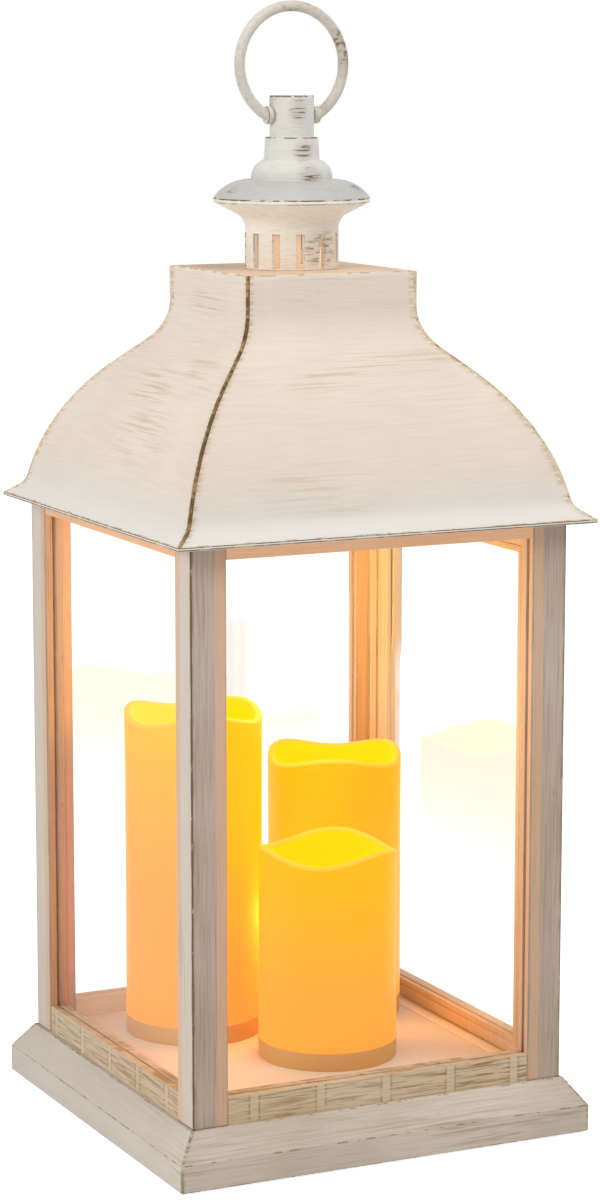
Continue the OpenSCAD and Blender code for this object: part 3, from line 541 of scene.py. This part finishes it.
def skin(name, rings, materials, slot_of):
    """A surface through rings of points, with the last ring joined to the first.
    slot_of(ring, point) gives the material slot of the face that starts there."""
    n = len(rings[0])
    verts = [p for ring in rings for p in ring]
    faces, slots = [], []
    for i in range(len(rings)):
        j = (i + 1) % len(rings)
        for k in range(n):
            m = (k + 1) % n
            faces.append((i * n + k, i * n + m, j * n + m, j * n + k))
            slots.append(slot_of(i, k))
    return mesh_object(name, verts, faces, slots, materials)


def lathe(name, profile, materials, slot_of, count=96):
    """A piece turned about Z: profile is a closed path of (radius, height)."""
    turns = [2 * math.pi * k / count for k in range(count)]
    rings = [[(r * math.cos(a), r * math.sin(a), z) for a in turns] for r, z in profile]
    return skin(name, rings, materials, slot_of)


def sharpen(obj, degrees):
    """Edges that turn by more than this stay crisp."""
    bpy.context.view_layer.objects.active = obj
    obj.select_set(True)
    bpy.ops.object.shade_smooth_by_angle(angle=math.radians(degrees), keep_sharp_edges=True)
    obj.select_set(False)


def finish_piece(obj, body, slot, *replaced):
    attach(obj, body)
    if replaced:
        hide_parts(*replaced)
    return obj


CORNER_POINTS = 9
SIDE_POINTS = 17


def square_ring(half, z, bead=0.0, roundness=0.0, width=1.3 * MM, rise=2.3 * MM):
    """Points of a square ring at one height. bead raises a rounded bead on its corners, and
    roundness turns it towards the circle of radius half."""
    points = []
    for quarter in range(4):
        turn = math.radians(90 * quarter)
        c, s = math.cos(turn), math.sin(turn)
        local = []
        for i in range(CORNER_POINTS):
            phi = math.radians(180 * i / (CORNER_POINTS - 1))
            t = -width * math.cos(phi)
            flat = -abs(t)
            raised = -width + rise * math.sin(phi)
            d = flat + (raised - flat) * bead
            local.append((half + (d - t) / math.sqrt(2), half + (d + t) / math.sqrt(2)))
        foot = half - width * math.sqrt(2)
        for i in range(1, SIDE_POINTS + 1):
            e = 1 - 2 * i / (SIDE_POINTS + 1)
            ease = math.copysign(1 - (1 - abs(e)) ** 1.6, e)
            local.append((foot * ease, half))
        for x, y in local:
            if roundness:
                reach = math.hypot(x, y)
                x, y = x + (half * x / reach - x) * roundness, y + (half * y / reach - y) * roundness
            points.append((x * c - y * s, x * s + y * c, z))
    return points


def on_corner(k):
    return k % (CORNER_POINTS + SIDE_POINTS) < CORNER_POINTS - 1


def on_bead(k):
    return 1 <= k % (CORNER_POINTS + SIDE_POINTS) <= 6


# ---- Plinth ------------------------------------------------------------------------------

def build_plinth():
    half = plinth_high.x - 0.1 * MM
    foot, top = plinth_low.z, plinth_high.z
    edge = foot + 15.5 * MM
    shoulder = frame_half + 1.5 * MM
    wall = 3 * MM
    shelf = frame_half - 26 * MM
    outline = [
        (half - wall, foot), (half, foot), (half, edge), (shoulder, top), (shelf, top),
        (shelf, top - wall), (shoulder - 2 * wall, top - wall), (half - wall, edge - wall / 2),
    ]
    radii = [0.4 * MM, 0.8 * MM, 1.2 * MM, 0.8 * MM, 0, 0, 0, 0]
    path, marks = fillet(outline, radii, closed=True)
    rings = [square_ring(h, z, bead=0.38, width=0.9 * MM, rise=0.5 * MM) for h, z in path]

    def slot_of(i, k):
        same = marks[i] >= 0 and marks[i] == marks[(i + 1) % len(marks)]
        return 1 if same or on_corner(k) else 0

    obj = skin("plinth_moulding", rings, [paint["plinth"], paint["plinth_edge"]], slot_of)
    sharpen(obj, 35)
    finish_piece(obj, "lantern", "whitewash", "plinth")


# ---- Roof --------------------------------------------------------------------------------

def shifted(path, distance):
    """The 2D path moved sideways, to the left of its direction."""
    moved = []
    for i, p in enumerate(path):
        a, b = Vector(path[max(i - 1, 0)]), Vector(path[min(i + 1, len(path) - 1)])
        u = (b - a).normalized()
        moved.append((p[0] - u.y * distance, p[1] + u.x * distance))
    return moved


def build_roof():
    eave, low, top = roof_high.x, roof_low.z, roof_high.z
    neck = 51.5 * MM
    neck_z = top - 19 * MM
    lip_top = low + 2.3 * MM
    turn = (eave - 6.3 * MM, low + 6 * MM)
    lip_high = (eave - 12 * MM, low + 14 * MM)
    flank_high = (neck + 23.5 * MM, neck_z - 35.4 * MM)
    neck_low = (neck + 10.5 * MM, neck_z - 23.5 * MM)
    outside = (
        arc(turn, lip_high, 1 * MM, 6, 0)
        + arc(lip_high, flank_high, -6.2 * MM, 28, 1)
        + arc(neck_low, (neck, neck_z), 2.8 * MM, 14, 0)
        + [(neck, neck_z + (top - neck_z) * i / 6) for i in range(1, 6)]
    )
    wall, plate_wall = 2.6 * MM, 3 * MM
    inside = shifted(outside, wall)
    plate_hole = 24.8 * MM
    flange = frame_half - 26.5 * MM
    rings, edges = [], []

    def ring(h, z, bead=0.0, roundness=0.0, edge=False):
        rings.append(square_ring(h, z, bead, roundness))
        edges.append(edge)

    ring(flange, low)
    ring(eave - 0.5 * MM, low)
    ring(eave - 0.1 * MM, low + 0.35 * MM, edge=True)
    ring(eave, low + 0.9 * MM)
    ring(eave, lip_top - 0.7 * MM, edge=True)
    first_bead = len(rings)
    ring(eave - 0.15 * MM, lip_top - 0.2 * MM, edge=True)
    ring(eave - 1.2 * MM, lip_top + 0.25 * MM, 0.5)
    for h, z in outside:
        ring(h, z, 1.0)
    ring(neck, top - 0.6 * MM, 1.0, edge=True)
    last_bead = len(rings)
    ring(neck - 0.25 * MM, top - 0.12 * MM, 0.8, edge=True)
    ring(neck - 0.8 * MM, top, 0.2)
    ring(neck - 8 * MM, top)
    ring(plate_hole + 6 * MM, top, 0, 0.6)
    plate = range(last_bead + 1, len(rings))
    ring(plate_hole, top, 0, 1.0)
    ring(plate_hole, top - plate_wall, 0, 1.0)
    ring(neck - wall, top - plate_wall)
    for h, z in reversed(inside):
        if z < top - 3.5 * MM:
            ring(h, z)
    ring(turn[0] - wall, lip_top)
    ring(flange, lip_top)

    near_corner = 2  # the quarter that holds the corner at -X, -Y

    def slot_of(i, k):
        if first_bead <= i <= last_bead and on_bead(k):
            return 2 if k // (CORNER_POINTS + SIDE_POINTS) == near_corner else 3
        if i in plate:
            return 4
        if edges[i]:
            return 5 if i < first_bead else 1
        return 0

    materials = [paint[name] for name in ("roof", "roof_edge", "hip", "hip_soft", "neck_plate", "roof_lip")]
    obj = skin("roof_moulding", rings, materials, slot_of)
    sharpen(obj, 40)
    finish_piece(obj, "lantern", "roof_whitewash", "roof_shell")


# ---- Cupola ------------------------------------------------------------------------------

def build_cap():
    brim = cap_high.x
    brim_z = vent_high.z
    dome = (23.4 * MM, brim_z + 10.4 * MM)
    tier = (15.8 * MM, brim_z + 21.4 * MM)
    top_r, top = 14.8 * MM, cap_high.z
    wall = 2.2 * MM
    outside = [(brim - 0.2 * MM, brim_z), (brim, brim_z + 0.25 * MM)]
    outside += arc((brim - 0.1 * MM, brim_z + 0.5 * MM), dome, -2.9 * MM, 16, 0)
    dome_end = len(outside)
    outside += [(dome[0] - 0.2 * MM, dome[1] + 0.05 * MM)]
    outside += arc((dome[0] - 0.6 * MM, dome[1] + 0.3 * MM), tier, -2.3 * MM, 12, 0)
    shoulder = len(outside)
    outside += [(tier[0] - 0.15 * MM, tier[1] + 0.3 * MM), (top_r + 0.1 * MM, top - 0.7 * MM)]
    outside += [(top_r - 0.05 * MM, top - 0.25 * MM), (top_r - 0.35 * MM, top), (3 * MM, top)]
    inside = [(3 * MM, top - wall), (top_r - wall, top - wall), (tier[0] - wall, tier[1] - wall)]
    inside += [(dome[0] - wall, dome[1] - wall), (brim - 2 * wall, brim_z)]
    edge_rings = {0, 1, shoulder + 1, shoulder + 2}

    def slot_of(i, k):
        if i in edge_rings:
            return 1
        return 2 if i < dome_end else 0

    materials = [paint["cupola"], paint["cupola_edge"], paint["dome"]]
    obj = lathe("cap_spinning", outside + inside, materials, slot_of)
    sharpen(obj, 38)
    finish_piece(obj, "lantern", "cupola_whitewash", "cupola_cap")


def build_stem():
    r, low, top = stem_high.x, stem_low.z, stem_high.z
    profile = [
        (0.5 * MM, low), (r, low), (r, low + 0.3 * MM), (r, top - 0.9 * MM), (r - 0.15 * MM, top - 0.4 * MM),
        (r - 0.5 * MM, top - 0.1 * MM), (r - 1.0 * MM, top), (0.5 * MM, top),
    ]

    def slot_of(i, k):
        return 1 if i in (3, 4, 5) else 0

    obj = lathe("stem_post", profile, [paint["cupola"], paint["cupola_edge"]], slot_of, count=72)
    sharpen(obj, 38)
    finish_piece(obj, "lantern", "cupola_whitewash", "ring_stem")


def build_ring():
    """Wire ring, drawn flat at its ends, with a round eye on each end of the pin."""
    wire = 3 * MM
    eye_out = 16.4 * MM
    radius = ring_high.x - wire
    centre_z = ring_high.z - radius - wire
    pivot = Vector((0, 0, stem_low.z + 12.1 * MM))
    start = -math.asin((centre_z - pivot.z) / radius)
    count, around = 96, 20
    rings = []
    centre = Vector((0, 0, centre_z))
    for i in range(count + 1):
        a = start + (math.pi - 2 * start) * i / count
        out = Vector((math.cos(a), 0, math.sin(a)))
        rings.append([
            tuple(centre + out * (radius + wire * math.cos(b)) + Vector((0, wire * math.sin(b), 0)))
            for b in (2 * math.pi * k / around for k in range(around))
        ])
    n = len(rings) * around
    verts = [p for ring in rings for p in ring]
    faces = []
    for i in range(count):
        here, after = i * around, (i + 1) * around
        for k in range(around):
            m = (k + 1) % around
            faces.append((here + k, here + m, after + m, after + k))
    faces.append(tuple(range(around)))
    faces.append(tuple(range(n - around, n)))
    slots = [0] * len(faces)
    eye, eye_points = 4.9 * MM, 40
    sections = [
        (2.1 * MM, 0.35 * MM), (eye - 0.9 * MM, 0.0), (eye - 0.35 * MM, 0.12 * MM), (eye, 0.6 * MM),
        (eye, 3.0 * MM), (eye - 0.5 * MM, 3.6 * MM), (2.1 * MM, 3.6 * MM),
    ]
    for side in (-1, 1):
        base = len(verts)
        for r, depth in sections:
            x = side * (eye_out - depth)
            verts += [
                (x, pivot.y + r * math.cos(a), pivot.z + r * math.sin(a))
                for a in (2 * math.pi * k / eye_points for k in range(eye_points))
            ]
        for i in range(len(sections)):
            here, after = base + i * eye_points, base + (i + 1) % len(sections) * eye_points
            for k in range(eye_points):
                m = (k + 1) % eye_points
                faces.append((here + k, here + m, after + m, after + k))
                slots.append(1 if i == 2 else 0)
    obj = mesh_object("ring_wire", verts, faces, slots, [paint["ring"], paint["cupola_edge"]])
    sharpen(obj, 50)
    finish_piece(obj, "ring", "ring_paint", "carrying_ring")


# ---- Candles -----------------------------------------------------------------------------

RIM_TURN = {"short": 55, "middle": 4, "tall": 18}
WAX_FOOT = {"short": linear(255, 156, 68), "middle": linear(255, 162, 60), "tall": linear(250, 144, 62)}
WAX_TOP = {"short": linear(255, 178, 0), "middle": linear(255, 178, 0), "tall": linear(255, 190, 0)}
WAX_LEAN = {"short": 1.5, "middle": 1.5, "tall": 9.0}


def build_candle(kind):
    low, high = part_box(f"{kind}_candle_shell")
    foot, crest = low.z, high.z
    centre = ((low.x + high.x) / 2, (low.y + high.y) / 2)
    radius = (high.x - low.x) / 2
    wall, wave, hollow = 4 * MM, 6 * MM, 32 * MM
    deck = crest - wave / 2 - hollow
    rim_mean = crest - wave / 2
    turn = math.radians(RIM_TURN[kind])
    inner = radius - wall
    rim = wall / 2
    body_steps, cup_steps, rim_steps = 24, 10, 8
    count = 120
    rings = []
    parts = []

    def add(part, heights, r):
        """A ring of radius r at heights(angle). part is 0 outside, 1 on the rim, 2 in the cup."""
        rings.append([
            (centre[0] + r * math.cos(a), centre[1] + r * math.sin(a), heights(a))
            for a in (2 * math.pi * k / count for k in range(count))
        ])
        parts.append(part)

    def rim_z(a):
        return rim_mean - rim + (wave / 2) * math.cos(3 * (a - turn))

    lean = 0.35 * MM
    add(0, lambda a: foot, radius - 0.8 * MM)
    add(0, lambda a: foot, radius - 0.3 * MM)
    for i in range(body_steps + 1):
        t = i / body_steps
        r = radius - lean * math.sin(math.pi * t) * 0.6
        add(0 if i < body_steps else 1, lambda a, t=t: foot + 0.4 * MM + (rim_z(a) - foot - 0.4 * MM) * t, r)
    for i in range(1, rim_steps):
        b = math.pi * i / rim_steps
        add(1, lambda a, b=b: rim_z(a) + rim * math.sin(b), radius - rim + rim * math.cos(b))
    for i in range(cup_steps + 1):
        t = i / cup_steps
        add(2, lambda a, t=t: rim_z(a) + (deck + 1.5 * MM - rim_z(a)) * t, inner - 0.5 * MM * t)
    add(2, lambda a: deck + 0.3 * MM, inner - 2 * MM)
    add(2, lambda a: deck, inner - 5 * MM)
    add(2, lambda a: deck, 2.8 * MM)
    add(2, lambda a: deck - 3 * MM, 2.8 * MM)
    add(2, lambda a: deck - 3 * MM, inner)
    add(0, lambda a: foot, inner)

    materials = [
        wax(
            f"{kind}_wax", foot, crest, centre[0], WAX_FOOT[kind], WAX_TOP[kind], 0.85,
            (0.62, 0.20, 0.006, 1), WAX_LEAN[kind],
        ),
        wax(
            f"{kind}_wax_rim", foot, crest, centre[0],
            linear(255, 178, 66), linear(255, 178, 50), 0.84,
            (0.7, 0.30, 0.04, 1),
        ),
        wax(
            f"{kind}_wax_cup", foot, crest, centre[0],
            linear(255, 206, 0), linear(255, 206, 0), 1.0,
            (0.30, 0.14, 0.0, 1),
        ),
    ]
    obj = skin(f"{kind}_candle_wax", rings, materials, lambda i, k: parts[i])
    sharpen(obj, 45)
    finish_piece(obj, f"{kind}_candle", "candle_wax", f"{kind}_candle_shell")


# ---- CAD pieces that stay: softened edges and materials -----------------------------------

def dress(node, materials, soften=0.0, angle=30.0, segments=2):
    """Gives a CAD piece its material, and rounds its edges with a worn second material."""
    obj = nodes[node]
    while len(obj.data.materials) > 1:
        obj.data.materials.pop()
    if not obj.data.materials:
        obj.data.materials.append(materials[0])
    obj.material_slots[0].material = materials[0]
    if len(materials) > 1:
        obj.data.materials.append(materials[1])
    if soften:
        weld = obj.modifiers.new("weld", "WELD")
        weld.merge_threshold = 0.01 * MM
        flat = obj.modifiers.new("flat", "DECIMATE")
        flat.decimate_type = "DISSOLVE"
        flat.angle_limit = math.radians(0.6)
        bevel = obj.modifiers.new("bevel", "BEVEL")
        bevel.width = soften
        bevel.segments = segments
        bevel.limit_method = "ANGLE"
        bevel.angle_limit = math.radians(angle)
        bevel.harden_normals = True
        bevel.use_clamp_overlap = False
        if len(materials) > 1:
            bevel.material = 1
    return obj


def dress_all():
    post = [paint["post"], paint["post_edge"]]
    rail = [paint["rail"], paint["rail_edge"]]
    cupola = [paint["cupola"], paint["cupola_edge"]]
    steel = plain("steel", linear(168, 168, 166), 0.35, 1.0)
    brass = plain("brass", linear(196, 160, 92), 0.35, 1.0)
    rubber = plain("rubber", linear(38, 37, 36), 0.8)
    board = plain("cover_board", linear(78, 74, 68), 0.8, grain=250)
    near_pane = clear_pane("clear_glass")
    back_pane = clear_pane("back_glass", BACK_MIRROR)
    door_pane = clear_pane("door_glass", DOOR_MIRROR)
    floor = lit("floor_board", linear(234, 216, 190), linear(255, 196, 140), 0.02)
    tan = lit("candle_foot", linear(186, 150, 98), linear(210, 134, 50), 0.30)
    cover = plain("candle_cover", linear(196, 164, 108), 0.55)
    cell = plain("battery_sleeve", linear(66, 78, 92), 0.4)
    switch = plain("switch_black", linear(26, 26, 26), 0.5)
    circuit = plain("circuit_board", linear(40, 108, 60), 0.5)
    lamp = lit("lamp_tip", linear(255, 240, 190), linear(255, 224, 150), 4.0, 0.3)
    for side in ("front_left", "front_right", "back_left", "back_right"):
        dress(f"post_{side}", post, 0.75 * MM)
    for side in ("front", "left", "back"):
        dress(f"bottom_rail_{side}", [paint["back_rail"]] if side == "back" else rail, 0.5 * MM)
        dress(f"top_rail_{side}", [paint["top_rail"]], 0.4 * MM)
        dress(f"pane_{side}", [back_pane if side == "back" else near_pane])
    dress("door_sill", [paint["back_rail"]], 0.4 * MM)
    dress("door_head", [paint["top_rail"]], 0.4 * MM)
    dress("door_frame", [paint["door"]], 0.5 * MM)
    dress("door_pane_bead", [paint["door"]], 0.3 * MM)
    dress("door_pane", [door_pane])
    dress("door_pivot_pins", [steel])
    dress("door_washer", [brass])
    dress("latch_button", cupola, 0.4 * MM)
    dress("latch_screw", [steel], 0.3 * MM)
    dress("vent_tube", [paint["tube"], paint["tube_edge"]], 0.3 * MM)
    dress("vent_clamp_ring", [paint["cupola"]])
    for name in ("vent_screws", "roof_screws", "frame_screws", "cover_screws", "stem_bolt", "ring_pivot_pin"):
        dress(name, [steel])
    dress("foot_pads", [rubber])
    dress("bottom_cover", [board])
    dress("floor_plate", [floor], 0.3 * MM)
    for kind in CANDLES:
        dress(f"{kind}_candle_base", [tan], 0.5 * MM)
        dress(f"{kind}_candle_battery_cover", [cover])
        dress(f"{kind}_candle_batteries", [cell])
        dress(f"{kind}_candle_switch", [switch])
        dress(f"{kind}_candle_led_board", [circuit])
        dress(f"{kind}_candle_led", [lamp])


# ---- Stage, light and camera --------------------------------------------------------------

def build_stage():
    """A white floor that looks white to the camera but throws less light back."""
    size = 6.0
    mesh = bpy.data.meshes.new("stage_floor")
    corners = [(-size, -size, 0), (size, -size, 0), (size, size, 0), (-size, size, 0)]
    mesh.from_pydata(corners, [], [(0, 1, 2, 3)])
    obj = bpy.data.objects.new("stage_floor", mesh)
    obj.location.z = -0.2 * MM
    bpy.context.scene.collection.objects.link(obj)
    s = Shader("stage_white")
    seen, bounced = 0.85, 0.1
    lift = s.spread(s.add("LightPath").outputs["Is Diffuse Ray"], seen, bounced)
    s.set(Base_Color=(0.6, 0.6, 0.6, 1), Roughness=0.9, Emission_Color=(1, 1, 1, 1), Emission_Strength=lift)
    s.surface.inputs["Specular IOR Level"].default_value = 0.0
    mesh.materials.append(s.material)


def build_world(soft):
    """A white world; soft is how brightly it lights surfaces, against 1 as the camera sees it."""
    world = bpy.data.worlds.new("studio")
    bpy.context.scene.world = world
    world.use_nodes = True
    tree = world.node_tree
    back = tree.nodes["Background"]
    path = tree.nodes.new("ShaderNodeLightPath")
    bright = tree.nodes.new("ShaderNodeMapRange")
    tree.links.new(path.outputs["Is Diffuse Ray"], bright.inputs["Value"])
    bright.inputs["To Min"].default_value = 1.0
    bright.inputs["To Max"].default_value = soft
    tree.links.new(bright.outputs[0], back.inputs["Strength"])
    back.inputs["Color"].default_value = (1, 1, 1, 1)


def area_light(name, place, aim, size, power):
    data = bpy.data.lights.new(name, "AREA")
    data.shape = "SQUARE"
    data.size = size
    data.energy = power
    obj = bpy.data.objects.new(name, data)
    obj.location = place
    obj.rotation_mode = "QUATERNION"
    obj.rotation_quaternion = (Vector(aim) - Vector(place)).to_track_quat("-Z", "Y")
    obj.visible_camera = False
    obj.visible_transmission = False
    obj.visible_glossy = False
    bpy.context.scene.collection.objects.link(obj)


def glow(name, place, power, size, colour):
    data = bpy.data.lights.new(name, "POINT")
    data.energy = power
    data.color = colour
    data.shadow_soft_size = size
    obj = bpy.data.objects.new(name, data)
    obj.location = place
    obj.visible_camera = False
    obj.visible_transmission = False
    obj.visible_glossy = False
    bpy.context.scene.collection.objects.link(obj)


def build_lights():
    """Soft white studio light from the upper left and from above, and the candles' glow."""
    build_world(0.36)
    area_light("key", (-2.2, -0.5, 1.2), (0, 0, 0.3), 1.4, 23)
    area_light("top", (0.5, -1.3, 2.4), (0, 0, 0.3), 1.6, 28)
    glow("chamber_glow", (8 * MM, 20 * MM, floor_high.z + 245 * MM), 0.62, 35 * MM, (1.0, 0.58, 0.11))
    glow("foot_glow", (8 * MM, 26 * MM, floor_high.z + 70 * MM), 0.10, 8 * MM, (1.0, 0.55, 0.12))
    glow("vent_glow", (0, 0, vent_low.z + 12 * MM), 0.007, 8 * MM, (1.0, 0.62, 0.38))


def build_camera():
    """The camera that was fitted to the photo's perspective."""
    azimuth, elevation, distance = math.radians(-25.72), math.radians(9.80), 1.9675
    target = Vector((0, 0, 0.2819))
    back = Vector((
        math.sin(azimuth) * math.cos(elevation),
        -math.cos(azimuth) * math.cos(elevation),
        math.sin(elevation),
    ))
    data = bpy.data.cameras.new("camera")
    data.lens = 102.75
    data.sensor_width = 36
    data.shift_x = 0.0069
    data.shift_y = 0.0242
    data.dof.use_dof = False
    obj = bpy.data.objects.new("camera", data)
    obj.location = target + back * distance
    obj.rotation_mode = "QUATERNION"
    obj.rotation_quaternion = (-back).to_track_quat("-Z", "Y")
    bpy.context.scene.collection.objects.link(obj)
    bpy.context.scene.camera = obj


build_plinth()
build_roof()
build_cap()
build_stem()
build_ring()
for kind in CANDLES:
    build_candle(kind)
dress_all()
build_stage()
build_lights()
build_camera()
bpy.context.scene.view_settings.view_transform = "Standard"
